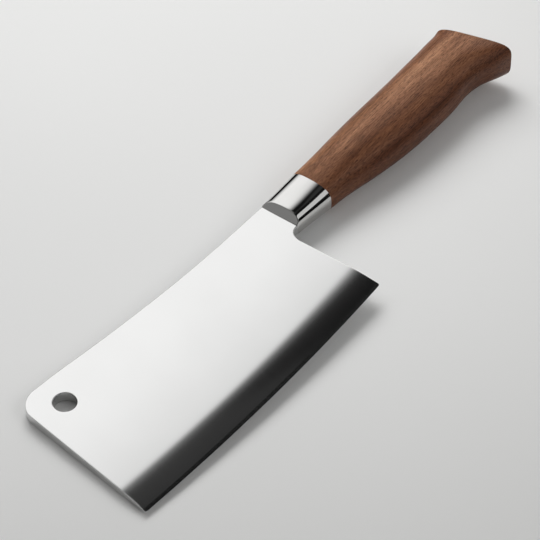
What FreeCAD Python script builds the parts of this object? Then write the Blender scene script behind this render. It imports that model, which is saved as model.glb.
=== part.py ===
import FreeCAD, Part
import math
import os

# Meat cleaver lying on its side.  +X runs from the blade to the handle, +Y from the cutting
# edge to the spine and +Z is up.  Each piece is drawn level, about the centre of the hanging
# hole in the middle plane of the blade.  The finished pieces are then laid down together in the
# pose in which the cleaver rests, with the middle of the underside of the whole cleaver's
# bounding box at the origin.  All lengths are in millimetres and all angles in degrees.

V = FreeCAD.Vector

# blade outline in the middle plane, as (x, y) points
front_top_corner = (-13.35, 14.6)
front_corner_radius = 10.0
front_edge_corner = (-20.0, -61.4)
heel_edge_corner = (132.5, -56.6)
edge_sag = 2.55
spine_points = [(8.0, 13.7), (22.0, 12.6), (50.0, 10.75), (92.0, 9.65)]
spine_end_slope = 0.04
neck_top_y = 10.9
neck_bottom_y = -8.7
notch_points = [(131.9, -10.4), (130.15, -15.0)]
edge_overshoot = 5.0

# blade cross-section: flat faces that close in evenly towards the edge, then a convex grind
half_thickness_at_hole = 2.37
face_taper = 0.0093
# distance from the cutting edge and half thickness there, across the convex grind
grind_points = [(18.0, 2.03), (14.0, 1.93), (11.0, 1.74), (7.0, 1.32), (3.0, 0.76), (1.5, 0.50)]
edge_half_thickness = 0.06
# the same two measures behind the grind, where its solid stands clear of the flat faces
behind_grind = [(30.0, 4.5), (120.0, 4.5)]
grind_half_sweep = 9.0

# hanging hole
hole_radius = 4.95

# tang: lowest and highest y at its root and at its tip
tang_half_thickness = 2.1
tang_root = (-5.0, 7.2)
tang_tip = (-1.8, 6.2)
tang_start_x = 130.0
tang_end_x = 238.0

# bolster: x, highest y, lowest y, half thickness, roundness power
joint_x = 158.4
bolster_sections = [
    (132.0, 11.1, -8.6, 5.75, 3.3),
    (139.0, 11.3, -8.75, 5.95, 3.3),
    (148.0, 11.9, -9.1, 6.35, 3.2),
    (joint_x, 12.75, -9.65, 7.2, 3.0),
]
bolster_front_x = 136.1
bolster_front_lean = 37.2
bolster_front_skew = 2.3

# handle, in the same terms
handle_sections = [
    (joint_x, 12.75, -9.65, 7.2, 3.0),
    (170.0, 13.5, -10.3, 8.45, 2.55),
    (183.0, 14.8, -12.1, 9.5, 2.3),
    (198.0, 16.0, -13.7, 10.0, 2.35),
    (215.0, 17.0, -14.4, 10.3, 2.4),
    (232.0, 18.0, -14.0, 10.4, 2.4),
    (247.0, 19.1, -12.8, 10.4, 2.45),
    (259.0, 19.95, -11.3, 10.4, 2.5),
]
# oblique sections towards the butt, the last of which is its rim:
# spine-side x and y, belly-side x and y, half thickness, roundness power
butt_sections = [
    (266.3, 20.5, 269.2, -12.1, 10.3, 2.7),
    (271.5, 20.5, 275.6, -13.8, 9.9, 3.3),
    (274.4, 20.5, 284.6, -15.6, 9.4, 5.0),
]
# low dome beyond the rim: advance past it, inset at each end, half thickness, roundness power
dome_sections = [
    (1.0, 0.7, 8.7, 4.6),
    (1.8, 2.4, 6.6, 3.9),
    (2.2, 5.5, 3.2, 3.0),
]
section_point_count = 32

# pocket for the tang, its glue, and the hidden pins at their (x, y) places
glue_gap = 0.4
pocket_end_gap = 1.5
pin_radius = 2.0
pin_half_length = 6.5
pin_positions = [(174.0, 1.5), (197.0, 1.8), (220.0, 2.0)]

# resting pose: turn about +X, then lean of the handle upwards
rest_roll = 0.352
rest_pitch = 2.067

# a length that runs clear of every piece, for the solids that cut or trim
clear = 400.0


def flat(xy):
    return V(xy[0], xy[1], 0)


def line(a, b):
    return Part.LineSegment(a, b).toShape()


def arc(a, b, c):
    return Part.Arc(a, b, c).toShape()


def direction(a, b):
    """Unit vector from one point towards another."""
    return (b - a).normalize()


def neck_point(y):
    """Point where the blade meets the bolster's front, which is skewed a little."""
    return V(bolster_front_x - y * math.tan(math.radians(bolster_front_skew)), y, 0)


def rounded_corner(corner, before, after, radius):
    """Start, middle and end of the arc that rounds a corner between two straight sides."""
    to_before = direction(corner, before)
    to_after = direction(corner, after)
    half_angle = to_before.getAngle(to_after) / 2
    setback = radius / math.tan(half_angle)
    reach = radius / math.sin(half_angle) - radius
    inward = (to_before + to_after).normalize()
    return corner + to_before * setback, corner + inward * reach, corner + to_after * setback


def blade_outline():
    """Closed outline of the blade, drawn a little past the cutting edge, where the grind ends it."""
    front = flat(front_edge_corner)
    heel = flat(heel_edge_corner)
    spine = [flat(xy) for xy in spine_points] + [neck_point(neck_top_y)]
    notch = [neck_point(neck_bottom_y)] + [flat(xy) for xy in notch_points]
    on_front, on_corner, on_spine = rounded_corner(
        flat(front_top_corner), front, spine[0], front_corner_radius)
    curve = Part.BSplineCurve()
    curve.interpolate(Points=[on_spine] + spine,
                      InitialTangent=direction(on_spine, spine[0]),
                      FinalTangent=V(1, spine_end_slope, 0))
    past_front = front + direction(on_front, front) * edge_overshoot
    past_heel = heel + direction(notch[-1], heel) * edge_overshoot
    return Part.Wire([
        line(past_front, on_front),
        arc(on_front, on_corner, on_spine),
        curve.toShape(),
        line(spine[-1], notch[0]),
        arc(*notch),
        line(notch[-1], past_heel),
        line(past_heel, past_front),
    ])


def wedge():
    """Long wedge between the blade's two flat faces, which would meet far past the edge."""
    meeting_y = -half_thickness_at_hole / face_taper
    back_half = half_thickness_at_hole + face_taper * clear
    corners = [V(-clear, meeting_y, 0), V(-clear, clear, back_half), V(-clear, clear, -back_half)]
    face = Part.Face(Part.makePolygon(corners + [corners[0]]))
    return face.extrude(V(2 * clear, 0, 0))


def edge_circle():
    """Centre and radius of the circle on which the cutting edge lies."""
    front = flat(front_edge_corner)
    heel = flat(heel_edge_corner)
    half_chord = (heel - front).Length / 2
    radius = half_chord ** 2 / (2 * edge_sag) + edge_sag / 2
    along = direction(front, heel)
    towards_spine = V(-along.y, along.x, 0)
    return (front + heel) * 0.5 + towards_spine * (radius - edge_sag), radius


def grind_side(edge_point, side):
    """Edges of the grind's profile on one side of the middle plane, from the back to the edge."""
    def at(depth, half_thickness):
        return edge_point + V(0, depth, side * half_thickness)
    ground = [at(*measures) for measures in grind_points]
    near, far = [at(*measures) for measures in behind_grind]
    curve = Part.BSplineCurve()
    curve.interpolate(Points=ground)
    tip = at(0, edge_half_thickness)
    return far, tip, [line(far, near), line(near, ground[0]), curve.toShape(), line(ground[-1], tip)]


def grind_solid():
    """The grind's profile turned about the centre of the edge circle."""
    centre, radius = edge_circle()
    edge_point = centre - V(0, radius, 0)
    far_above, tip_above, above = grind_side(edge_point, 1)
    far_below, tip_below, below = grind_side(edge_point, -1)
    outline = above + [line(tip_above, tip_below)] + below + [line(far_below, far_above)]
    profile = Part.Face(Part.Wire(Part.__sortEdges__(outline)))
    profile.rotate(centre, V(0, 0, 1), -grind_half_sweep)
    return profile.revolve(centre, V(0, 0, 1), 2 * grind_half_sweep)


def plate(points, half_height):
    """Flat polygon of (x, y) points, thickened evenly above and below the middle plane."""
    corners = [V(x, y, -half_height) for x, y in points]
    face = Part.Face(Part.makePolygon(corners + [corners[0]]))
    return face.extrude(V(0, 0, 2 * half_height))


def tang_plate(gap, end_gap):
    """The tang, grown by the given gap on every side and by the end gap at its tip."""
    low_root, high_root = tang_root
    low_tip, high_tip = tang_tip
    tip_x = tang_end_x + end_gap
    points = [(tang_start_x, low_root - gap), (tip_x, low_tip - gap),
              (tip_x, high_tip + gap), (tang_start_x, high_root + gap)]
    return plate(points, tang_half_thickness + gap)


def rod(radius, half_length, x, y):
    """Round rod through the middle plane."""
    return Part.makeCylinder(radius, 2 * half_length, V(x, y, -half_length), V(0, 0, 1))


def pins():
    return Part.makeCompound([rod(pin_radius, pin_half_length, x, y) for x, y in pin_positions])


def blade_plate():
    """Blade steel in front of the bolster, before the hole is drilled."""
    prism = Part.Face(blade_outline()).extrude(V(0, 0, 2 * clear))
    prism.translate(V(0, 0, -clear))
    return prism.common(wedge()).common(grind_solid())


def blade():
    """Blade with its hanging hole, heel notch and hidden tang, all in one piece of steel."""
    drilled = blade_plate().cut(rod(hole_radius, clear, 0, 0))
    return drilled.fuse(tang_plate(0, 0)).removeSplitter().cut(pins())


def rounded_power(value, power):
    """Signed power, which squares up the circle that the value comes from."""
    return math.copysign(abs(value) ** power, value)


def section_wire(high, low, half_thickness, roundness_power):
    """Closed rounded section standing on the line between two (x, y) points."""
    middle = (flat(high) + flat(low)) * 0.5
    half_height = (flat(high) - flat(low)) * 0.5
    points = []
    for i in range(section_point_count):
        angle = 2 * math.pi * i / section_point_count
        along = rounded_power(math.cos(angle), 2 / roundness_power)
        across = rounded_power(math.sin(angle), 2 / roundness_power)
        points.append(middle + half_height * along + V(0, 0, half_thickness * across))
    curve = Part.BSplineCurve()
    curve.interpolate(Points=points, PeriodicFlag=True)
    return Part.Wire([curve.toShape()])


def upright(sections):
    """Wires of sections square to +X."""
    return [section_wire((x, high), (x, low), half, power)
            for x, high, low, half, power in sections]


def oblique(sections):
    """Wires of sections that slant from the spine side to the belly side."""
    return [section_wire((high_x, high_y), (low_x, low_y), half, power)
            for high_x, high_y, low_x, low_y, half, power in sections]


def bolster_front_cutter():
    """Everything ahead of the bolster's front, which leans back above and below the blade."""
    boxes = []
    for side in (0, 1, -1):
        box = Part.makeBox(clear, 2 * clear, 2 * clear, V(-clear, -clear, -clear))
        box.rotate(V(0, 0, 0), V(0, 1, 0), side * bolster_front_lean)
        box.rotate(V(0, 0, 0), V(0, 0, 1), bolster_front_skew)
        box.translate(V(bolster_front_x, 0, side * half_thickness_at_hole))
        boxes.append(box)
    return boxes[0].fuse(boxes[1:])


def bolster():
    """Polished collar with a slot through which the tang passes."""
    collar = Part.makeLoft(upright(bolster_sections), True, False).cut(bolster_front_cutter())
    return collar.cut(tang_plate(0, 0)).cut(blade_plate())


def dome_wires():
    """Wires of the dome's sections, parallel to the rim and closing in beyond it."""
    high_x, high_y, low_x, low_y = butt_sections[-1][:4]
    high = flat((high_x, high_y))
    low = flat((low_x, low_y))
    down = direction(high, low)
    outward = V(-down.y, down.x, 0)
    wires = oblique(butt_sections[-1:])
    for advance, inset, half, power in dome_sections:
        new_high = high + outward * advance + down * inset
        new_low = low + outward * advance - down * inset
        wires.append(section_wire((new_high.x, new_high.y), (new_low.x, new_low.y), half, power))
    return wires


def handle_body():
    """Grip that ends at a crisp slanting rim, with a low dome beyond it."""
    grip = upright(handle_sections) + oblique(butt_sections)
    dome = dome_wires()
    walls = Part.makeLoft(grip, False, False).Faces + Part.makeLoft(dome, False, False).Faces
    shell = Part.makeShell(walls + [Part.Face(grip[0]), Part.Face(dome[-1])])
    shell.sewShape()
    return Part.makeSolid(Part.Shell(shell.Faces))


def pocket():
    """Space inside the handle for the tang and its glue."""
    behind_joint = Part.makeBox(clear, 2 * clear, 2 * clear, V(joint_x, -clear, -clear))
    return tang_plate(glue_gap, pocket_end_gap).common(behind_joint)


def handle_half(side):
    """One wooden half of the handle, with half the tang pocket and the blind pin holes."""
    lowest_z = 0 if side > 0 else -clear
    half_space = Part.makeBox(clear, 2 * clear, clear, V(0, -clear, lowest_z))
    return handle_body().cut(pocket()).cut(pins()).common(half_space)


def tang_glue():
    """Cured glue that fills the pocket round the tang."""
    return pocket().cut(tang_plate(0, 0)).cut(pins())


def resting(shapes):
    """Lay the pieces down together and put the middle of the underside at the origin."""
    laid = {}
    for name, shape in shapes.items():
        shape = shape.copy()
        shape.rotate(V(0, 0, 0), V(1, 0, 0), rest_roll)
        shape.rotate(V(0, 0, 0), V(0, 1, 0), -rest_pitch)
        laid[name] = shape
    box = Part.makeCompound(list(laid.values())).optimalBoundingBox(False)
    shift = V(-(box.XMin + box.XMax) / 2, -(box.YMin + box.YMax) / 2, -box.ZMin)
    for shape in laid.values():
        shape.translate(shift)
    return laid


os.makedirs("parts", exist_ok=True)
pieces = resting({
    "blade_with_tang": blade(),
    "bolster": bolster(),
    "left_handle_half": handle_half(1),
    "right_handle_half": handle_half(-1),
    "tang_pins": pins(),
    "tang_glue": tang_glue(),
})
for name, shape in pieces.items():
    shape.exportStep("parts/" + name + ".step")
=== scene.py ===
import math

import bmesh
import bpy
import numpy as np
from mathutils import Matrix, Vector, geometry


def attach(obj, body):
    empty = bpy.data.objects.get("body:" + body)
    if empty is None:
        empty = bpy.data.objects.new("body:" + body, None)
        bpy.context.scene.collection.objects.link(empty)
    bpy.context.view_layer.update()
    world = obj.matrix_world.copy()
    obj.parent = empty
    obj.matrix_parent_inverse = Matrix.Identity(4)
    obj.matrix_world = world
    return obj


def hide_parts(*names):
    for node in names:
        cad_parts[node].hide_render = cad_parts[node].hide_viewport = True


# The cleaver is drawn level, in millimetres, about the centre of its hanging hole in the middle
# plane of the blade: +X towards the handle, +Y towards the spine, +Z up.  lay_down() then puts
# each finished piece into the pose in which the whole cleaver rests, in metres.

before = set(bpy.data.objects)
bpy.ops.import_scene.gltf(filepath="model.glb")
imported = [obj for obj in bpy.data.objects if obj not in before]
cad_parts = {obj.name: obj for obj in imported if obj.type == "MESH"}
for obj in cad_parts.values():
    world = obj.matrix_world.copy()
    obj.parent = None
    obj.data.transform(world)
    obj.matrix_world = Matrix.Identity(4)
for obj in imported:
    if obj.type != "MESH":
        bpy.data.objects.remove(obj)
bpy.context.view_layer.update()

MM = 0.001
MERGE_DISTANCE = 1e-4

# resting pose: roll about +X, then pitch about -Y, then the place of the hole's centre
REST_ROLL = math.radians(0.352)
REST_PITCH = math.radians(2.067)
HOLE_CENTRE = Vector((-132.790, 20.778, 2.897))

# blade outline
FRONT_TOP_CORNER = Vector((-13.35, 14.6))
FRONT_CORNER_RADIUS = 10.0
FRONT_EDGE_CORNER = Vector((-20.0, -61.4))
HEEL_EDGE_CORNER = Vector((132.5, -56.6))
EDGE_SAG = 2.55
SPINE_POINTS = [(8.0, 13.7), (22.0, 12.6), (50.0, 10.75), (92.0, 9.65)]
SPINE_END_SLOPE = 0.04
NECK_TOP_Y = 10.9
NECK_BOTTOM_Y = -8.7
NOTCH_MIDDLE = Vector((131.9, -10.4))
NOTCH_END = Vector((130.15, -15.0))
HOLE_RADIUS = 4.95

# blade cross-section: half thickness at the hole, its gain per millimetre towards the spine, half
# thickness at the cutting edge and at depths behind it, and how softly the ground zone meets the
# flat face.  The edge's two ends are rounded in outline.
HALF_AT_HOLE = 2.37
FACE_TAPER = 0.0093
EDGE_HALF = 0.06
GRIND_DEPTHS = [1.5, 3.0, 7.0, 11.0, 14.0, 18.0, 24.0]
GRIND_HALVES = [0.50, 0.76, 1.32, 1.74, 1.93, 2.03, 2.12]
GRIND_ZONE = 22.0
SHOULDER_BLEND = 0.02
SHOULDER_FADE = 3.0
EDGE_CORNER_RADIUS = 0.8

# rounded rims: radius, its largest share of the half thickness, the places of its lines round it,
# how far behind it the last line lies, and how much a line is kept from stretching in a corner
BLADE_RIM = 0.28
RIM_SHARE = 0.4
RIM_ANGLES = (90, 68, 45, 22, 0)
RIM_SUPPORT = 0.4
RIM_LINES = len(RIM_ANGLES) + 1
MITRE_LIMIT = 0.5

# how finely the blade's outline, its ground zone and its hole are drawn
SIDE_STEPS = 16
CORNER_STEPS = 28
SPINE_STEPS = 40
NOTCH_STEPS = 14
GRIND_COLUMNS = 120
HOLE_STEPS = 64

# tang: (x, low y, high y) at its root and at its tip
TANG_HALF = 2.1
TANG_ROOT = (130.0, -5.0, 7.2)
TANG_TIP = (238.0, -1.8, 6.2)

# bolster: x, highest y, lowest y, half thickness, roundness power
JOINT_X = 158.4
BOLSTER_SECTIONS = [
    (132.0, 11.1, -8.6, 5.75, 3.3),
    (139.0, 11.3, -8.75, 5.95, 3.3),
    (148.0, 11.9, -9.1, 6.35, 3.2),
    (JOINT_X, 12.75, -9.65, 7.2, 3.0),
]

# bolster: its front, which leans back above and below the blade and is slightly skew to it, and
# the rounded rim and the half thickness there
BOLSTER_FRONT_X = 136.1
BOLSTER_LEAN = math.radians(37.2)
BOLSTER_SKEW = math.radians(2.3)
BOLSTER_RIM = 0.3
BOLSTER_FRONT_HALF = 6.0

# how finely the bolster is drawn, and how many steps find where a line of it meets its front
BOLSTER_AROUND = 48
BOLSTER_STEPS = 30
FRONT_SEARCH_STEPS = 12

# handle: spine-side x and y, belly-side x and y, half thickness, roundness power
HANDLE_SECTIONS = [
    (JOINT_X, 12.75, JOINT_X, -9.65, 7.2, 3.0),
    (170.0, 13.5, 170.0, -10.3, 8.45, 2.55),
    (183.0, 14.8, 183.0, -12.1, 9.5, 2.3),
    (198.0, 16.0, 198.0, -13.7, 10.0, 2.35),
    (215.0, 17.0, 215.0, -14.4, 10.3, 2.4),
    (232.0, 18.0, 232.0, -14.0, 10.4, 2.4),
    (247.0, 19.1, 247.0, -12.8, 10.4, 2.45),
    (259.0, 19.95, 259.0, -11.3, 10.4, 2.5),
    (266.3, 20.5, 269.2, -12.1, 10.3, 2.7),
    (271.5, 20.5, 275.6, -13.8, 9.9, 3.3),
    (274.4, 20.5, 284.6, -15.6, 9.4, 5.0),
]
# dome beyond the rim: advance past it, inset at each end, half thickness, roundness power.
# It's drawn from a little way past its first section.
DOME_SECTIONS = [
    (0.0, 0.0, 9.4, 5.0),
    (1.0, 0.7, 8.7, 4.6),
    (1.8, 2.4, 6.6, 3.9),
    (2.2, 5.5, 3.2, 3.0),
]
DOME_START = 0.3

# rounded rim between the handle's side and its dome, and how finely the handle is drawn
HANDLE_RIM = 0.35
HANDLE_AROUND = 44
HANDLE_STEPS = 110
DOME_STEPS = 14

# first and last step round a section, in radians, beside the seam between the handle's halves
SEAM_STEP = 0.004

# pocket for the tang and its glue, and the hidden pins.  Cutters start and end a little way
# outside the piece that they cut.
GLUE_GAP = 0.4
POCKET_END_GAP = 1.5
CUTTER_OVERRUN = 8
PIN_RADIUS = 2.0
PIN_SIDES = 48
PIN_HALF_LENGTH = 6.5
PIN_POSITIONS = [(174.0, 1.5), (197.0, 1.8), (220.0, 2.0)]

# edges sharper than this many degrees are drawn as creases
STEEL_CREASE = 32
WOOD_CREASE = 40

# camera: where it looks, from which side, how far away, and its tilt about the line of sight
CAMERA_TARGET = Vector((-0.01723, 0.01036, 0.0))
CAMERA_AZIMUTH = math.radians(-140.0305)
CAMERA_ELEVATION = math.radians(43.6568)
CAMERA_DISTANCE = 0.96414
CAMERA_TILT = math.radians(-0.1367)
CAMERA_LENS = 149.99
SENSOR_WIDTH = 36
CLIP_START = 0.01

# floor, in metres: how far it reaches to each side, and the middle of its pool of light
FLOOR_REACH = 0.7
FLOOR_CELLS = 8
FLOOR_POOL_CENTRE = (0.02, 0.18, 0.0)

# even light from all round, as the floor and the wood see it and as the steel mirrors it
AMBIENT = 0.205
MIRRORED_AMBIENT = 0.008

# panels: azimuth, elevation and turn in degrees, distance, width and height in metres, radiance.
# Nothing mirrors the lamps, and the cards are only there to be mirrored.
LAMPS = {
    "Key_light": (50, 40, 0, 1.3, 0.9, 0.7, 4.8),
    "Right_light": (-75, 40, 0, 1.3, 1.0, 0.6, 1.7),
}
CARDS = {
    "Side_card": (-42, 49, -38, 1.2, 1.3, 0.72, 0.85),
    "Left_fill": (150, 25, 0, 1.4, 1.3, 1.0, 0.3),
    "Back_card": (108, 10, 0, 1.6, 1.2, 0.5, 0.6),
    "End_card": (203, 16, 0, 1.6, 0.8, 0.8, 0.4),
    "Corner_glow": (28, 69, 0, 1.3, 0.42, 0.34, 0.035),
    "Top_card": (100, 73, 0, 1.6, 0.7, 0.44, 0.45),
    "Butt_card": (3, 18, 0, 1.6, 1.2, 0.8, 0.5),
    "Front_card": (-105, 22, 0, 1.6, 1.8, 1.2, 0.5),
}

# window, in metres: how far away, its two sides and heights, then its brightness at heights that
# are given as shares of its distance
WINDOW_DISTANCE = 5.0
WINDOW_ACROSS = (-3.0, 16.0)
WINDOW_HEIGHTS = (1.8, 15.0)
WINDOW_RADIANCE = 1.42
WINDOW_FADE = [(0.38, 0.0), (0.55, 0.55), (0.85, 1.0), (1.62, 1.0), (1.72, 0.93), (1.80, 0.80),
               (2.0, 0.52), (2.28, 0.22), (2.5, 0.09), (2.8, 0.02), (3.0, 0.0)]


def spline(xs, ys, start_slope=None, end_slope=None):
    """Smooth curve y(x) through the given points; ends with no given slope are left free."""
    xs = np.asarray(xs, float)
    ys = np.asarray(ys, float)
    n = len(xs)
    gaps = np.diff(xs)
    rises = np.diff(ys) / gaps
    rows = np.zeros((n, n))
    right = np.zeros(n)
    for i in range(1, n - 1):
        rows[i, i - 1:i + 2] = gaps[i], 2 * (gaps[i - 1] + gaps[i]), gaps[i - 1]
        right[i] = 3 * (rises[i - 1] * gaps[i] + rises[i] * gaps[i - 1])
    rows[0, :2] = (2, 1) if start_slope is None else (1, 0)
    right[0] = 3 * rises[0] if start_slope is None else start_slope
    rows[-1, -2:] = (1, 2) if end_slope is None else (0, 1)
    right[-1] = 3 * rises[-1] if end_slope is None else end_slope
    slopes = np.linalg.solve(rows, right)

    def value(x):
        i = int(np.clip(np.searchsorted(xs, x) - 1, 0, n - 2))
        t = (x - xs[i]) / gaps[i]
        return float(ys[i] * (1 + 2 * t) * (1 - t) ** 2 + ys[i + 1] * t * t * (3 - 2 * t)
                     + gaps[i] * (slopes[i] * t * (1 - t) ** 2 - slopes[i + 1] * t * t * (1 - t)))
    return value


class Skin:
    """Vertices and faces of a piece, in millimetres in the drawing frame."""

    def __init__(self):
        self.points = []
        self.faces = []

    def row(self, points):
        """Add points, and give their numbers."""
        start = len(self.points)
        self.points += [tuple(p) for p in points]
        return list(range(start, len(self.points)))

    def strip(self, one, other):
        """Join two rows of the same length with a strip of faces."""
        for i in range(len(one) - 1):
            self.faces.append((one[i], one[i + 1], other[i + 1], other[i]))

    def face(self, ids):
        self.faces.append(tuple(ids))


def mesh_from(name, skin):
    """Mesh with merged doubles and outward normals."""
    mesh = bpy.data.meshes.new(name)
    mesh.from_pydata(skin.points, [], skin.faces)
    bm = bmesh.new()
    bm.from_mesh(mesh)
    bmesh.ops.remove_doubles(bm, verts=bm.verts, dist=MERGE_DISTANCE)
    bmesh.ops.dissolve_degenerate(bm, edges=bm.edges, dist=MERGE_DISTANCE)
    bmesh.ops.recalc_face_normals(bm, faces=bm.faces)
    bm.to_mesh(mesh)
    bm.free()
    return mesh


def object_from(name, mesh):
    """Object with a mesh, in the scene."""
    obj = bpy.data.objects.new(name, mesh)
    bpy.context.scene.collection.objects.link(obj)
    return obj


def carve(obj, cutters):
    """Cut closed meshes out of an object's mesh."""
    tools = [object_from("cutter", mesh) for mesh in cutters]
    for tool in tools:
        cut = obj.modifiers.new("cut", "BOOLEAN")
        cut.operation = "DIFFERENCE"
        cut.solver = "EXACT"
        cut.object = tool
    depsgraph = bpy.context.evaluated_depsgraph_get()
    carved = bpy.data.meshes.new_from_object(obj.evaluated_get(depsgraph))
    obj.modifiers.clear()
    obj.data = carved
    for tool in tools:
        bpy.data.objects.remove(tool)


def finish_piece(obj, material, crease, node):
    """Keep the drawing-frame place of each vertex for the materials, then lay the piece down."""
    mesh = obj.data
    places = np.array([v.co for v in mesh.vertices], np.float32)
    drawn = mesh.attributes.new("drawn", "FLOAT_VECTOR", "POINT")
    drawn.data.foreach_set("vector", places.ravel())
    mesh.transform(lay_down())
    mesh.shade_smooth()
    mesh.set_sharp_from_angle(angle=math.radians(crease))
    mesh.materials.clear()
    mesh.materials.append(material)
    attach(obj, "root")
    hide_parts(node)


def lay_down():
    """Move from the drawing frame, in millimetres, to the resting pose in metres."""
    turn = Matrix.Rotation(-REST_PITCH, 4, "Y") @ Matrix.Rotation(REST_ROLL, 4, "X")
    return Matrix.Scale(MM, 4) @ Matrix.Translation(HOLE_CENTRE) @ turn


def box_mesh(name, corners_low, corners_high):
    """Closed block between two rings of corners."""
    skin = Skin()
    low = skin.row(corners_low)
    high = skin.row(corners_high)
    skin.strip(low + low[:1], high + high[:1])
    skin.face(low)
    skin.face(high)
    return mesh_from(name, skin)


def tang_ring(x, gap):
    """Corners of the tang's section at x, grown by a gap on every side."""
    share = (x - TANG_ROOT[0]) / (TANG_TIP[0] - TANG_ROOT[0])
    low = TANG_ROOT[1] + share * (TANG_TIP[1] - TANG_ROOT[1]) - gap
    high = TANG_ROOT[2] + share * (TANG_TIP[2] - TANG_ROOT[2]) + gap
    half = TANG_HALF + gap
    return [(x, low, -half), (x, high, -half), (x, high, half), (x, low, half)]


def tang_cutter(start_x, end_x, gap):
    return box_mesh("tang_space", tang_ring(start_x, gap), tang_ring(end_x, gap))


def pin_cutters():
    """Round spaces for the blind pins."""
    angles = [2 * math.pi * i / PIN_SIDES for i in range(PIN_SIDES)]
    meshes = []
    for x, y in PIN_POSITIONS:
        circle = [(x + PIN_RADIUS * math.cos(a), y + PIN_RADIUS * math.sin(a)) for a in angles]
        low = [(px, py, -PIN_HALF_LENGTH) for px, py in circle]
        high = [(px, py, PIN_HALF_LENGTH) for px, py in circle]
        meshes.append(box_mesh("pin_space", low, high))
    return meshes


# ---------------------------------------------------------------- blade

def face_half(y):
    """Half thickness between the blade's flat faces."""
    return HALF_AT_HOLE + FACE_TAPER * y


grind_curve = spline(GRIND_DEPTHS, GRIND_HALVES)


def blade_half(y, depth):
    """Half thickness of the blade at a depth behind the cutting edge."""
    if depth < GRIND_DEPTHS[0]:
        ground = EDGE_HALF + (GRIND_HALVES[0] - EDGE_HALF) * depth / GRIND_DEPTHS[0]
    elif depth < GRIND_ZONE:
        ground = grind_curve(depth)
    else:
        return face_half(y)
    sooner = min(ground, face_half(y))
    gap = abs(ground - face_half(y))
    fade = min(1.0, (GRIND_ZONE - depth) / SHOULDER_FADE)
    return sooner - fade * SHOULDER_BLEND * math.log1p(math.exp(-gap / SHOULDER_BLEND))


def edge_circle():
    """Centre and radius of the circle on which the cutting edge lies."""
    chord = HEEL_EDGE_CORNER - FRONT_EDGE_CORNER
    half_chord = chord.length / 2
    radius = half_chord ** 2 / (2 * EDGE_SAG) + EDGE_SAG / 2
    along = chord.normalized()
    towards_spine = Vector((-along.y, along.x))
    middle = (HEEL_EDGE_CORNER + FRONT_EDGE_CORNER) / 2
    return middle + towards_spine * (radius - EDGE_SAG), radius


EDGE_CENTRE, EDGE_RADIUS = edge_circle()


def at_depth(corner, upwards, depth):
    """Point on a straight side of the outline at a depth behind the cutting edge."""
    direction = (upwards - corner).normalized()
    from_centre = corner - EDGE_CENTRE
    b = from_centre.dot(direction)
    c = from_centre.length_squared - (EDGE_RADIUS - depth) ** 2
    return corner + direction * (-b - math.sqrt(max(b * b - c, 0)))


def rounded_front_corner():
    """Points of the arc that rounds the corner between the front and the spine."""
    to_edge = (FRONT_EDGE_CORNER - FRONT_TOP_CORNER).normalized()
    to_spine = (Vector(SPINE_POINTS[0]) - FRONT_TOP_CORNER).normalized()
    half_angle = to_edge.angle(to_spine) / 2
    bisector = (to_edge + to_spine).normalized()
    centre = FRONT_TOP_CORNER + bisector * FRONT_CORNER_RADIUS / math.sin(half_angle)
    setback = FRONT_CORNER_RADIUS / math.tan(half_angle)
    start = FRONT_TOP_CORNER + to_edge * setback - centre
    end = FRONT_TOP_CORNER + to_spine * setback - centre
    turn = start.angle(end)
    points = []
    for i in range(CORNER_STEPS + 1):
        t = i / CORNER_STEPS
        points.append(centre + (start * math.sin((1 - t) * turn) + end * math.sin(t * turn))
                      / math.sin(turn))
    return points


def neck_point(y):
    """Point of the line along which the blade meets the bolster's front."""
    return Vector((BOLSTER_FRONT_X - y * math.tan(BOLSTER_SKEW), y))


def arc_through(a, b, c, steps):
    """Points of the arc from a through b to c."""
    d = 2 * (a.x * (b.y - c.y) + b.x * (c.y - a.y) + c.x * (a.y - b.y))
    sa, sb, sc = a.length_squared, b.length_squared, c.length_squared
    centre = Vector((sa * (b.y - c.y) + sb * (c.y - a.y) + sc * (a.y - b.y),
                     sa * (c.x - b.x) + sb * (a.x - c.x) + sc * (b.x - a.x))) / d
    start, end = a - centre, c - centre
    turn = start.angle(end)
    return [centre + (start * math.sin((1 - i / steps) * turn) + end * math.sin(i / steps * turn))
            / math.sin(turn) for i in range(steps + 1)]


def spine_outline(start, tangent):
    """Points along the spine, from the rounded corner to the bolster."""
    neck = neck_point(NECK_TOP_Y)
    knots = [start] + [Vector(p) for p in SPINE_POINTS] + [neck]
    curve = spline([p.x for p in knots], [p.y for p in knots],
                   tangent.y / tangent.x, SPINE_END_SLOPE)
    xs = [start.x + (neck.x - start.x) * i / SPINE_STEPS for i in range(1, SPINE_STEPS + 1)]
    return [Vector((x, curve(x))) for x in xs]


def upper_outline():
    """Outline of the blade behind the grind zone: front, spine, neck, notch and heel.
    Also gives the place in it where the tang leaves the neck."""
    front_low = at_depth(FRONT_EDGE_CORNER, FRONT_TOP_CORNER, GRIND_ZONE)
    heel_low = at_depth(HEEL_EDGE_CORNER, NOTCH_END, GRIND_ZONE)
    corner = rounded_front_corner()
    outline = [front_low.lerp(corner[0], i / SIDE_STEPS) for i in range(SIDE_STEPS)] + corner
    outline += spine_outline(corner[-1], Vector(SPINE_POINTS[0]) - corner[-1])
    tang_at = len(outline)
    outline += [neck_point(TANG_ROOT[2]), neck_point(TANG_ROOT[1])]
    outline += arc_through(neck_point(NECK_BOTTOM_Y), NOTCH_MIDDLE, NOTCH_END, NOTCH_STEPS)
    outline += [NOTCH_END.lerp(heel_low, i / SIDE_STEPS) for i in range(1, SIDE_STEPS + 1)]
    return outline, tang_at


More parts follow.
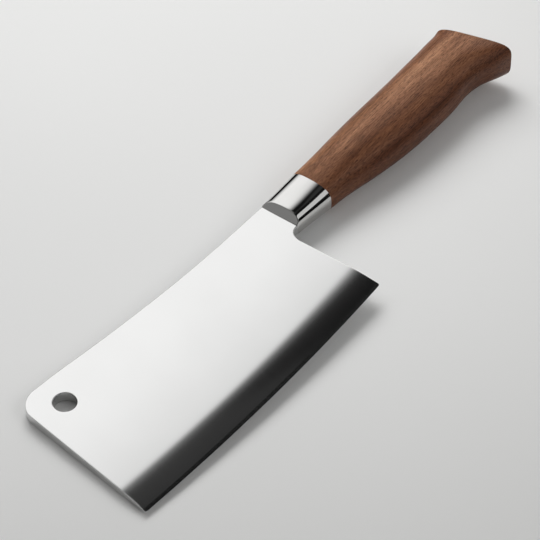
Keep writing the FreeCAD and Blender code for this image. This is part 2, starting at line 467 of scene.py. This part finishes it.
def inward(outline, i):
    """Direction into the blade at a point of the outline, long enough to keep the offset even."""
    before = (outline[i] - outline[i - 1]).normalized()
    after = (outline[i + 1] - outline[i]).normalized()
    middle = (before + after).normalized()
    return Vector((middle.y, -middle.x)) / max(middle.dot(before), MITRE_LIMIT)


def rim_steps(rim):
    """Inset and drop of each line of a rounded rim, from the wall to the flat behind it."""
    steps = [(rim * (1 - math.sin(math.radians(a))), rim * (1 - math.cos(math.radians(a))))
             for a in RIM_ANGLES]
    return steps + [(rim + RIM_SUPPORT, 0)]


def grind_depths():
    """Depths of the lines over the ground zone, closest together at its edge and shoulder."""
    edge = [0, 0.15, 0.35, 0.6, 1.0, 1.45, 1.55, 2.0]
    middle = [float(depth) for depth in range(3, 13)]
    shoulder = [12.75 + 0.75 * i for i in range(8)]
    return edge + middle + shoulder + [20.0, GRIND_ZONE]


def grind_insets(length, depth, half):
    """Inset from the front end, and drop, of each point along a line of the ground zone."""
    left = max(EDGE_CORNER_RADIUS - depth, 0)
    round_off = EDGE_CORNER_RADIUS - math.sqrt(EDGE_CORNER_RADIUS ** 2 - left ** 2)
    ends = [(round_off + inset, drop) for inset, drop in rim_steps(min(BLADE_RIM, RIM_SHARE * half))]
    first = ends[-1][0]
    inner = length - 2 * first
    insets = ends + [(first + inner * i / GRIND_COLUMNS, 0) for i in range(1, GRIND_COLUMNS)]
    return insets + [(length - inset, drop) for inset, drop in reversed(ends)]


def grind_rows(skin, side):
    """Grid over the ground zone on one side of the blade, as rows of vertex numbers."""
    rows = []
    for depth in grind_depths():
        front = at_depth(FRONT_EDGE_CORNER, FRONT_TOP_CORNER, depth)
        heel = at_depth(HEEL_EDGE_CORNER, NOTCH_END, depth)
        length = (heel - front).length
        start = math.atan2(front.y - EDGE_CENTRE.y, front.x - EDGE_CENTRE.x)
        end = math.atan2(heel.y - EDGE_CENTRE.y, heel.x - EDGE_CENTRE.x)
        radius = EDGE_RADIUS - depth
        points = []
        for inset, drop in grind_insets(length, depth, blade_half(front.y, depth)):
            angle = start + (end - start) * inset / length
            x = EDGE_CENTRE.x + radius * math.cos(angle)
            y = EDGE_CENTRE.y + radius * math.sin(angle)
            points.append((x, y, side * (blade_half(y, depth) - drop)))
        rows.append(skin.row(points))
    return rows


def rim_row(skin, point, into, side):
    """Vertices of the rounded rim at one point of the outline."""
    points = []
    for inset, drop in rim_steps(BLADE_RIM):
        place = point + into * inset
        points.append((place.x, place.y, side * (face_half(place.y) - drop)))
    return skin.row(points)


def outline_rims(skin, outline, last, side):
    """Rounded rim along the outline behind the ground zone, between the ends of its last row."""
    rims = [last[:RIM_LINES]]
    for i in range(1, len(outline) - 1):
        rims.append(rim_row(skin, outline[i], inward(outline, i), side))
    rims.append(last[:-RIM_LINES - 1:-1])
    for one, other in zip(rims, rims[1:]):
        skin.strip(one, other)
    return rims


def hole_rims(skin, side):
    """Rounded rim of the hanging hole."""
    rims = []
    for i in range(HOLE_STEPS):
        angle = 2 * math.pi * i / HOLE_STEPS
        out = Vector((math.cos(angle), math.sin(angle)))
        rims.append(rim_row(skin, out * HOLE_RADIUS, out, side))
    for one, other in zip(rims, rims[1:] + rims[:1]):
        skin.strip(one, other)
    return rims


def fill_flat(skin, border, ring):
    """Flat face between its border and the ring round the hole."""
    loops = [[Vector((*skin.points[i][:2], 0)) for i in loop] for loop in (border, ring)]
    numbers = border + ring
    for triangle in geometry.tessellate_polygon(loops):
        skin.face([numbers[i] for i in triangle])


def blade_side(skin, outline, side):
    """One face of the blade, with its rims.  Gives the rows of the grind, of the rim and of the
    hole, whose first vertices stand on the walls."""
    rows = grind_rows(skin, side)
    for one, other in zip(rows, rows[1:]):
        skin.strip(one, other)
    last = rows[-1]
    rims = outline_rims(skin, outline, last, side)
    hole = hole_rims(skin, side)
    border = last[RIM_LINES - 1:-RIM_LINES + 1] + [rim[-1] for rim in reversed(rims[1:-1])]
    fill_flat(skin, border, [rim[-1] for rim in hole])
    return rows, rims, hole


def make_blade(material):
    """Blade and hidden tang in one piece of steel."""
    skin = Skin()
    outline, tang_at = upper_outline()
    top_rows, top_rims, top_hole = blade_side(skin, outline, 1)
    low_rows, low_rims, low_hole = blade_side(skin, outline, -1)
    skin.strip(top_rows[0], low_rows[0])
    for end in (0, -1):
        skin.strip([row[end] for row in top_rows], [row[end] for row in low_rows])
    top_wall = [rim[0] for rim in top_rims]
    low_wall = [rim[0] for rim in low_rims]
    skin.strip(top_wall[:tang_at + 1], low_wall[:tang_at + 1])
    skin.strip(top_wall[tang_at + 1:], low_wall[tang_at + 1:])
    root = [low_wall[tang_at + 1], low_wall[tang_at], top_wall[tang_at], top_wall[tang_at + 1]]
    tip = skin.row(tang_ring(TANG_TIP[0], 0))
    skin.strip(root + root[:1], tip + tip[:1])
    skin.face(tip)
    top_ring = [rim[0] for rim in top_hole]
    low_ring = [rim[0] for rim in low_hole]
    skin.strip(top_ring + top_ring[:1], low_ring + low_ring[:1])
    blade = object_from("Blade_and_tang", mesh_from("Blade_and_tang", skin))
    carve(blade, pin_cutters())
    finish_piece(blade, material, STEEL_CREASE, "blade_with_tang")


# ---------------------------------------------------------------- rounded sections

def polar_angles(count):
    """Half a turn of angles, with a very thin first and last step so that the two halves of
    the handle shade alike where they meet."""
    inner = [math.pi * i / count for i in range(1, count)]
    return [0, SEAM_STEP] + inner + [math.pi - SEAM_STEP, math.pi]


def section_point(high, low, half, power, angle):
    """Point of a rounded section that stands on the line between two (x, y) points."""
    c, s = math.cos(angle), math.sin(angle)
    reach = (abs(c) ** power + abs(s) ** power) ** (-1 / power)
    middle = (high + low) / 2
    along = (high - low) / 2 * reach * c
    return Vector((middle.x + along.x, middle.y + along.y, half * reach * s))


def interpolated(knots, sections):
    """Function that gives the numbers of a section at any place between the known ones."""
    curves = [spline(knots, column) for column in zip(*sections)]
    return lambda place: [curve(place) for curve in curves]


def rounded_over(before, corner, after, share):
    """Line of points at a share of the way round a rim, which never reaches the corner itself."""
    return [a * (1 - share) ** 2 + c * 2 * share * (1 - share) + b * share ** 2
            for a, c, b in zip(before, corner, after)]


# ---------------------------------------------------------------- bolster

bolster_at = interpolated([s[0] for s in BOLSTER_SECTIONS], [s[1:] for s in BOLSTER_SECTIONS])


def bolster_point(x, angle, scale=1.0):
    """Point of the bolster's section at x, shrunk by a scale about its middle."""
    high, low, half, power = bolster_at(x)
    middle = (high + low) / 2
    top = Vector((x, middle + (high - middle) * scale))
    bottom = Vector((x, middle + (low - middle) * scale))
    return section_point(top, bottom, half * scale, power, angle)


def front_x(y, z):
    """x of the bolster's front, which leans back above and below the blade."""
    lean = max(abs(z) - HALF_AT_HOLE, 0) * math.tan(BOLSTER_LEAN) / math.cos(BOLSTER_SKEW)
    return BOLSTER_FRONT_X - y * math.tan(BOLSTER_SKEW) + lean


def front_point(angle, scale=1.0):
    """Where a lengthwise line of the bolster meets its front."""
    x = BOLSTER_FRONT_X
    for _ in range(FRONT_SEARCH_STEPS):
        point = bolster_point(x, angle, scale)
        x = front_x(point.y, point.z)
    return Vector((x, point.y, point.z))


def bolster_rings(angles):
    """Rings of points from the rounded rim of the front to the joint with the handle."""
    fronts = [front_point(a) for a in angles]
    insets = [front_point(a, 1 - BOLSTER_RIM / BOLSTER_FRONT_HALF) for a in angles]
    setbacks = [bolster_point(f.x + BOLSTER_RIM, a) for f, a in zip(fronts, angles)]
    rings = [rounded_over(insets, fronts, setbacks, share) for share in (0, 0.33, 0.67)]
    for step in range(BOLSTER_STEPS + 1):
        ring = []
        for start, angle in zip(setbacks, angles):
            x = start.x + (JOINT_X - start.x) * step / BOLSTER_STEPS
            ring.append(bolster_point(x, angle))
        rings.append(ring)
    return rings


def bolster_front(skin, ring, half_turn):
    """Leaning faces above and below the blade, and the upright band between them."""
    upper = ring[:half_turn]
    lower = [ring[-i % len(ring)] for i in range(half_turn)]
    creases = []
    for ids, side in ((upper, 1), (lower, -1)):
        points = []
        for i in ids:
            _, y, z = skin.points[i]
            level = side * min(abs(z), HALF_AT_HOLE)
            points.append((front_x(y, level), y, level))
        creases.append(skin.row(points))
    skin.strip(upper, creases[0])
    skin.strip(creases[0], creases[1])
    skin.strip(creases[1], lower)


def make_bolster(material):
    """Polished collar with the slot for the tang."""
    skin = Skin()
    around = polar_angles(BOLSTER_AROUND)
    angles = around + [2 * math.pi - a for a in reversed(around[1:-1])]
    rows = [skin.row(ring) for ring in bolster_rings(angles)]
    for one, other in zip(rows, rows[1:]):
        skin.strip(one + one[:1], other + other[:1])
    skin.face(rows[-1])
    bolster_front(skin, rows[0], len(around))
    bolster = object_from("Bolster", mesh_from("Bolster", skin))
    carve(bolster, [tang_cutter(BOLSTER_FRONT_X - CUTTER_OVERRUN, JOINT_X + CUTTER_OVERRUN, 0)])
    finish_piece(bolster, material, STEEL_CREASE, "bolster")


# ---------------------------------------------------------------- handle

def handle_knots():
    """Distance along the handle at which each known section stands."""
    knots = [0.0]
    for one, other in zip(HANDLE_SECTIONS, HANDLE_SECTIONS[1:]):
        middle_a = (Vector(one[:2]) + Vector(one[2:4])) / 2
        middle_b = (Vector(other[:2]) + Vector(other[2:4])) / 2
        knots.append(knots[-1] + (middle_b - middle_a).length)
    return knots


def handle_ring(numbers, angles):
    """Ring of points of one section of the handle."""
    high_x, high_y, low_x, low_y, half, power = numbers
    high, low = Vector((high_x, high_y)), Vector((low_x, low_y))
    return [section_point(high, low, half, power, a) for a in angles]


def dome_ring(numbers, angles):
    """Section of the dome beyond the rim, parallel to it."""
    advance, inset, half, power = numbers
    high = Vector(HANDLE_SECTIONS[-1][:2])
    low = Vector(HANDLE_SECTIONS[-1][2:4])
    down = (low - high).normalized()
    outward = Vector((-down.y, down.x))
    high = high + outward * advance + down * inset
    low = low + outward * advance - down * inset
    return [section_point(high, low, half, power, a) for a in angles]


def handle_rings(angles):
    """Rings of points from the joint to the middle of the dome."""
    knots = handle_knots()
    at = interpolated(knots, HANDLE_SECTIONS)
    dome_at = interpolated(range(len(DOME_SECTIONS)), DOME_SECTIONS)
    rim_start = knots[-1] - HANDLE_RIM
    rings = [handle_ring(at(rim_start * i / HANDLE_STEPS), angles) for i in range(HANDLE_STEPS + 1)]
    rim = handle_ring(HANDLE_SECTIONS[-1], angles)
    dome_reach = len(DOME_SECTIONS) - 1 - DOME_START
    dome = [dome_ring(dome_at(DOME_START + dome_reach * i / DOME_STEPS), angles)
            for i in range(DOME_STEPS + 1)]
    last = rings[-1]
    rings += [rounded_over(last, rim, dome[0], share) for share in (0.25, 0.5, 0.75)]
    return rings + dome


def make_handle_half(name, side, material, node):
    """One wooden half of the handle, with half the tang pocket and the blind pin holes."""
    skin = Skin()
    rings = handle_rings(polar_angles(HANDLE_AROUND))
    rows = [skin.row([(p.x, p.y, side * p.z) for p in ring]) for ring in rings]
    for one, other in zip(rows, rows[1:]):
        skin.strip(one, other)
    end = skin.row([(skin.points[i][0], skin.points[i][1], 0) for i in rows[-1][1:-1]])
    end = [rows[-1][0]] + end + [rows[-1][-1]]
    skin.strip(rows[-1], end)
    skin.face(rows[0])
    skin.face([row[0] for row in rows] + end[1:-1] + [row[-1] for row in reversed(rows)])
    half = object_from(name, mesh_from(name, skin))
    pocket = tang_cutter(JOINT_X - CUTTER_OVERRUN, TANG_TIP[0] + POCKET_END_GAP, GLUE_GAP)
    carve(half, [pocket] + pin_cutters())
    finish_piece(half, material, WOOD_CREASE, node)


# ---------------------------------------------------------------- materials

# steels: colour, roughness, and the scale of the brush marks on each axis
SATIN_STEEL = ((0.66, 0.66, 0.655), 0.125, (1.4, 0.02, 0.02))
POLISHED_STEEL = ((0.585, 0.58, 0.57), 0.09, (0.03, 1.2, 1.2))

# brush marks: how much darker they are, and how much they change the roughness
BRUSH_CONTRAST = 0.03
BRUSH_ROUGHNESS = 0.08

# materials inside the handle: colour, how metallic, roughness, and the scale of the mottle
PIN_STEEL = ((0.55, 0.55, 0.56), 1.0, 0.35, 400)
CURED_GLUE = ((0.62, 0.50, 0.27), 0.0, 0.4, 300)

# walnut: the grain's turn from the handle's length, and the scales along each axis of the broad
# figure, the fine streaks and the pores
GRAIN_TURN = math.radians(4)
FIGURE_SCALE = (0.014, 0.22, 0.22)
STREAK_SCALE = (0.08, 2.0, 2.0)
PORE_SCALE = (0.40, 2.9, 2.9)
PORE_STRENGTH = 0.85

# walnut: roughness between and on its streaks, sheen, and the pores' strength and depth as bumps
WOOD_ROUGHNESS = (0.44, 0.32)
WOOD_SHEEN = 0.2
PORE_BUMP = 0.35
PORE_DEPTH = 0.0003

# walnut: its colours from the darkest to the lightest figure, then what the streaks, the pores
# and the painted light and shade across the handle, as far as the reach to each side, multiply them
# by
FIGURE_COLOURS = [(0.30, (0.150, 0.060, 0.027)), (0.50, (0.225, 0.100, 0.049)),
                  (0.70, (0.300, 0.147, 0.078))]
STREAK_SHADES = [(0.34, (0.66, 0.61, 0.57)), (0.50, (0.97, 0.95, 0.93)),
                 (0.66, (1.30, 1.32, 1.34))]
PORE_SHADES = [(0.36, (0.34, 0.28, 0.24)), (0.48, (1, 1, 1))]
# painted light and shade across the handle: painted shade darkens the belly side, painted light
# brightens the upper face towards the spine, and the spine's own edge is darker and redder again
PAINTED_LIGHT_REACH = 14
PAINTED_LIGHT_AND_SHADE = [(0.08, (0.56, 0.43, 0.36)), (0.40, (0.88, 0.82, 0.78)),
                (0.62, (1.36, 1.36, 1.33)), (0.85, (1.50, 1.53, 1.50)),
                (1.00, (0.90, 0.76, 0.66))]

# floor: its colour at distances in metres from the middle of its pool of light
FLOOR_POOL = [(0.00, (0.92, 0.92, 0.91)), (0.19, (0.88, 0.88, 0.87)), (0.24, (0.83, 0.83, 0.82)),
              (0.35, (0.71, 0.71, 0.70)), (0.50, (0.67, 0.67, 0.66))]


class Nodes:
    """Short way to build a node material."""

    def __init__(self, name):
        self.material = bpy.data.materials.new(name)
        self.material.use_nodes = True
        self.tree = self.material.node_tree
        self.shader = self.tree.nodes["Principled BSDF"]

    def add(self, kind, **settings):
        node = self.tree.nodes.new(kind)
        for key, value in settings.items():
            setattr(node, key, value)
        return node

    def link(self, source, target):
        self.tree.links.new(source, target)

    def set(self, name, value):
        self.shader.inputs[name].default_value = value

    def place(self, scale, turn=0.0):
        """Drawing-frame place, turned about +Z and then stretched by a scale on each axis."""
        drawn = self.add("ShaderNodeAttribute", attribute_name="drawn")
        mapping = self.add("ShaderNodeMapping", vector_type="TEXTURE")
        mapping.inputs["Rotation"].default_value = (0, 0, turn)
        mapping.inputs["Scale"].default_value = [1 / s for s in scale]
        self.link(drawn.outputs["Vector"], mapping.inputs["Vector"])
        return mapping.outputs["Vector"]

    def noise(self, scale, detail, roughness=0.5, distortion=0.0, turn=0.0):
        """Noise over the drawing frame."""
        noise = self.add("ShaderNodeTexNoise")
        noise.inputs["Scale"].default_value = 1.0
        noise.inputs["Detail"].default_value = detail
        noise.inputs["Roughness"].default_value = roughness
        noise.inputs["Distortion"].default_value = distortion
        self.link(self.place(scale, turn), noise.inputs["Vector"])
        return noise.outputs["Fac"]

    def ramp(self, source, stops):
        """Colour that runs through stops, each a value of the source and a colour."""
        ramp = self.add("ShaderNodeValToRGB")
        elements = ramp.color_ramp.elements
        elements[0].position, elements[0].color = stops[0][0], (*stops[0][1], 1)
        elements[1].position, elements[1].color = stops[-1][0], (*stops[-1][1], 1)
        for position, colour in stops[1:-1]:
            elements.new(position).color = (*colour, 1)
        self.link(source, ramp.inputs["Fac"])
        return ramp.outputs["Color"]

    def spread(self, source, low, high, from_low=0.3, from_high=0.7):
        """Value rescaled to run between two others."""
        rescale = self.add("ShaderNodeMapRange")
        for name, value in (("From Min", from_low), ("From Max", from_high),
                            ("To Min", low), ("To Max", high)):
            rescale.inputs[name].default_value = value
        self.link(source, rescale.inputs["Value"])
        return rescale.outputs["Result"]

    def multiply(self, one, other, factor=1.0):
        """Product of two colours, blended over the first by a factor.  The colour inputs of the
        mix node are its seventh and eighth."""
        mix = self.add("ShaderNodeMix", data_type="RGBA", blend_type="MULTIPLY")
        mix.inputs[0].default_value = factor
        self.link(one, mix.inputs[6])
        self.link(other, mix.inputs[7])
        return mix.outputs[2]


def steel(name, colour, roughness, brushing):
    """Stainless steel with fine brush marks; brushing is the scale of the marks on each axis."""
    nodes = Nodes(name)
    nodes.set("Metallic", 1.0)
    marks = nodes.noise(brushing, detail=3.0, roughness=0.6)
    cloud = nodes.noise((0.03, 0.03, 0.03), detail=2.0)
    shade = nodes.ramp(marks, [(0.3, [c * (1 - BRUSH_CONTRAST) for c in colour]), (0.7, colour)])
    tone = nodes.ramp(cloud, [(0.3, (0.97, 0.97, 0.97)), (0.7, (1.0, 1.0, 1.0))])
    nodes.link(nodes.multiply(shade, tone), nodes.shader.inputs["Base Color"])
    smoothest = roughness * (1 - BRUSH_ROUGHNESS)
    roughest = roughness * (1 + BRUSH_ROUGHNESS)
    nodes.link(nodes.spread(marks, smoothest, roughest), nodes.shader.inputs["Roughness"])
    return nodes.material


def walnut():
    """Oiled walnut: broad figure, fine streaks and short dark pores, all along the handle, with
    painted shade on the belly side and painted light over the upper face.
    """
    nodes = Nodes("Walnut")
    figure = nodes.noise(FIGURE_SCALE, detail=3.0, distortion=0.4)
    streaks = nodes.noise(STREAK_SCALE, detail=3.0, roughness=0.6, turn=GRAIN_TURN)
    pores = nodes.noise(PORE_SCALE, detail=2.0, roughness=0.6, turn=GRAIN_TURN)
    base = nodes.ramp(figure, FIGURE_COLOURS)
    fine = nodes.ramp(streaks, STREAK_SHADES)
    marks = nodes.ramp(pores, PORE_SHADES)
    colour = nodes.multiply(nodes.multiply(base, fine), marks, PORE_STRENGTH)
    # painted light and shade across the handle: darker towards the belly side, lighter over the
    # upper face
    axes = nodes.add("ShaderNodeSeparateXYZ")
    nodes.link(nodes.place((1, 1, 1)), axes.inputs["Vector"])
    across = nodes.spread(axes.outputs["Y"], 0, 1, -PAINTED_LIGHT_REACH, PAINTED_LIGHT_REACH)
    colour = nodes.multiply(colour, nodes.ramp(across, PAINTED_LIGHT_AND_SHADE))
    nodes.link(colour, nodes.shader.inputs["Base Color"])
    nodes.link(nodes.spread(streaks, *WOOD_ROUGHNESS), nodes.shader.inputs["Roughness"])
    nodes.set("Specular IOR Level", WOOD_SHEEN)
    bump = nodes.add("ShaderNodeBump")
    bump.inputs["Strength"].default_value = PORE_BUMP
    bump.inputs["Distance"].default_value = PORE_DEPTH
    nodes.link(pores, bump.inputs["Height"])
    nodes.link(bump.outputs["Normal"], nodes.shader.inputs["Normal"])
    return nodes.material


def hidden_material(name, colour, metallic, roughness, scale):
    """Plain mottled material for the pieces inside the handle, placed by object coordinates."""
    nodes = Nodes(name)
    place = nodes.add("ShaderNodeTexCoord")
    noise = nodes.add("ShaderNodeTexNoise")
    noise.inputs["Scale"].default_value = scale
    nodes.link(place.outputs["Object"], noise.inputs["Vector"])
    darker = [0.8 * c for c in colour]
    nodes.link(nodes.ramp(noise.outputs["Fac"], [(0.35, darker), (0.65, colour)]),
               nodes.shader.inputs["Base Color"])
    nodes.set("Metallic", metallic)
    nodes.set("Roughness", roughness)
    return nodes.material


def floor_material():
    """Pale stone, whitest in the middle of the pool of light."""
    nodes = Nodes("Pale_floor")
    place = nodes.add("ShaderNodeTexCoord")
    noise = nodes.add("ShaderNodeTexNoise")
    noise.inputs["Scale"].default_value = 3.0
    nodes.link(place.outputs["Object"], noise.inputs["Vector"])
    away = nodes.add("ShaderNodeVectorMath", operation="DISTANCE")
    away.inputs[1].default_value = FLOOR_POOL_CENTRE
    nodes.link(place.outputs["Object"], away.inputs[0])
    pool = nodes.ramp(away.outputs["Value"], FLOOR_POOL)
    mottle = nodes.ramp(noise.outputs["Fac"], [(0.3, (0.97, 0.97, 0.97)), (0.7, (1, 1, 1))])
    nodes.link(nodes.multiply(pool, mottle), nodes.shader.inputs["Base Color"])
    nodes.set("Roughness", 0.55)
    nodes.set("Specular IOR Level", 0.25)
    return nodes.material


# ---------------------------------------------------------------- studio

def place_from(target, azimuth, elevation, distance):
    """Place at a distance from a target, seen from it at an azimuth and an elevation."""
    flat = math.cos(elevation) * distance
    return target + Vector((flat * math.cos(azimuth), flat * math.sin(azimuth),
                            math.sin(elevation) * distance))


def panel(name, azimuth, elevation, turn, distance, width, height, radiance, mirrored):
    """Soft rectangular light that faces the cleaver, turned about its own middle.  It's either
    only seen in what is mirrored, or never seen there."""
    light = bpy.data.lights.new(name, "AREA")
    light.shape = "RECTANGLE"
    light.size = width
    light.size_y = height
    light.energy = radiance * math.pi * width * height
    obj = bpy.data.objects.new(name, light)
    bpy.context.scene.collection.objects.link(obj)
    obj.location = place_from(Vector((0, 0, 0)), math.radians(azimuth), math.radians(elevation),
                              distance)
    facing = (-obj.location).to_track_quat("-Z", "Y").to_matrix()
    obj.rotation_euler = (facing @ Matrix.Rotation(math.radians(turn), 3, "Z")).to_euler()
    obj.visible_camera = False
    obj.visible_diffuse = not mirrored
    obj.visible_glossy = mirrored


def window_glow():
    """Emission that fades towards the top of the window."""
    material = bpy.data.materials.new("Window_glow")
    material.use_nodes = True
    tree = material.node_tree
    tree.nodes.clear()
    place = tree.nodes.new("ShaderNodeTexCoord")
    axes = tree.nodes.new("ShaderNodeSeparateXYZ")
    level = tree.nodes.new("ShaderNodeMapRange")
    level.inputs["From Max"].default_value = WINDOW_HEIGHTS[1]
    ramp = tree.nodes.new("ShaderNodeValToRGB")
    ramp.color_ramp.elements.remove(ramp.color_ramp.elements[0])
    for i, (height, share) in enumerate(WINDOW_FADE):
        elements = ramp.color_ramp.elements
        stop = elements[0] if i == 0 else elements.new(1.0)
        stop.position = height * WINDOW_DISTANCE / WINDOW_HEIGHTS[1]
        stop.color = (share, share, share, 1)
    glow = tree.nodes.new("ShaderNodeEmission")
    glow.inputs["Strength"].default_value = WINDOW_RADIANCE
    output = tree.nodes.new("ShaderNodeOutputMaterial")
    tree.links.new(place.outputs["Object"], axes.inputs["Vector"])
    tree.links.new(axes.outputs["Z"], level.inputs["Value"])
    tree.links.new(level.outputs["Result"], ramp.inputs["Fac"])
    tree.links.new(ramp.outputs["Color"], glow.inputs["Color"])
    tree.links.new(glow.outputs["Emission"], output.inputs["Surface"])
    return material


def make_window():
    """Tall bright window beyond the spine, facing -Y."""
    skin = Skin()
    y = WINDOW_DISTANCE
    rows = [skin.row([(x, y, z) for x in WINDOW_ACROSS]) for z in WINDOW_HEIGHTS]
    skin.strip(*rows)
    window = object_from("Window", mesh_from("Window", skin))
    window.data.materials.append(window_glow())
    window.visible_camera = False


def make_floor():
    """Floor of square cells, each way as far as its reach."""
    skin = Skin()
    reach = FLOOR_REACH / MM
    marks = [-reach + 2 * reach * i / FLOOR_CELLS for i in range(FLOOR_CELLS + 1)]
    rows = [skin.row([(x, y, 0) for x in marks]) for y in marks]
    for one, other in zip(rows, rows[1:]):
        skin.strip(one, other)
    mesh = mesh_from("Floor", skin)
    mesh.transform(Matrix.Scale(MM, 4))
    floor = object_from("Floor", mesh)
    mesh.materials.append(floor_material())


def make_camera():
    """Camera with a long lens, above the side of the cutting edge and the front end."""
    camera = bpy.data.cameras.new("Camera")
    camera.lens = CAMERA_LENS
    camera.sensor_width = SENSOR_WIDTH
    camera.clip_start = CLIP_START
    obj = bpy.data.objects.new("Camera", camera)
    bpy.context.scene.collection.objects.link(obj)
    obj.location = place_from(CAMERA_TARGET, CAMERA_AZIMUTH, CAMERA_ELEVATION, CAMERA_DISTANCE)
    look = (CAMERA_TARGET - obj.location).to_track_quat("-Z", "Y").to_matrix()
    obj.rotation_euler = (look @ Matrix.Rotation(CAMERA_TILT, 3, "Z")).to_euler()
    bpy.context.scene.camera = obj


def make_world():
    """Dim even light from all round, dimmer still where the steel mirrors it."""
    world = bpy.data.worlds.new("Studio")
    world.use_nodes = True
    tree = world.node_tree
    path = tree.nodes.new("ShaderNodeLightPath")
    level = tree.nodes.new("ShaderNodeMapRange")
    level.inputs["To Min"].default_value = AMBIENT
    level.inputs["To Max"].default_value = MIRRORED_AMBIENT
    tree.links.new(path.outputs["Is Glossy Ray"], level.inputs["Value"])
    background = tree.nodes["Background"]
    background.inputs["Color"].default_value = (1, 1, 1, 1)
    tree.links.new(level.outputs["Result"], background.inputs["Strength"])
    bpy.context.scene.world = world


def make_lights():
    """Lamps, cards and window."""
    for panels, mirrored in ((LAMPS, False), (CARDS, True)):
        for name, numbers in panels.items():
            panel(name, *numbers, mirrored)
    make_window()


def dress_hidden_pieces():
    """Materials for the two nodes that are carried over from the frame, inside the handle."""
    pin_steel = hidden_material("Pin_steel", *PIN_STEEL)
    cured_glue = hidden_material("Cured_glue", *CURED_GLUE)
    for node, material in (("tang_pins", pin_steel), ("tang_glue", cured_glue)):
        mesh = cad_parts[node].data
        mesh.materials.clear()
        mesh.materials.append(material)


wood = walnut()
make_blade(steel("Satin_steel", *SATIN_STEEL))
make_bolster(steel("Polished_steel", *POLISHED_STEEL))
make_handle_half("Handle_left_half", 1, wood, "left_handle_half")
make_handle_half("Handle_right_half", -1, wood, "right_handle_half")
dress_hidden_pieces()
make_floor()
make_camera()
make_world()
make_lights()
bpy.context.scene.view_settings.view_transform = "Standard"
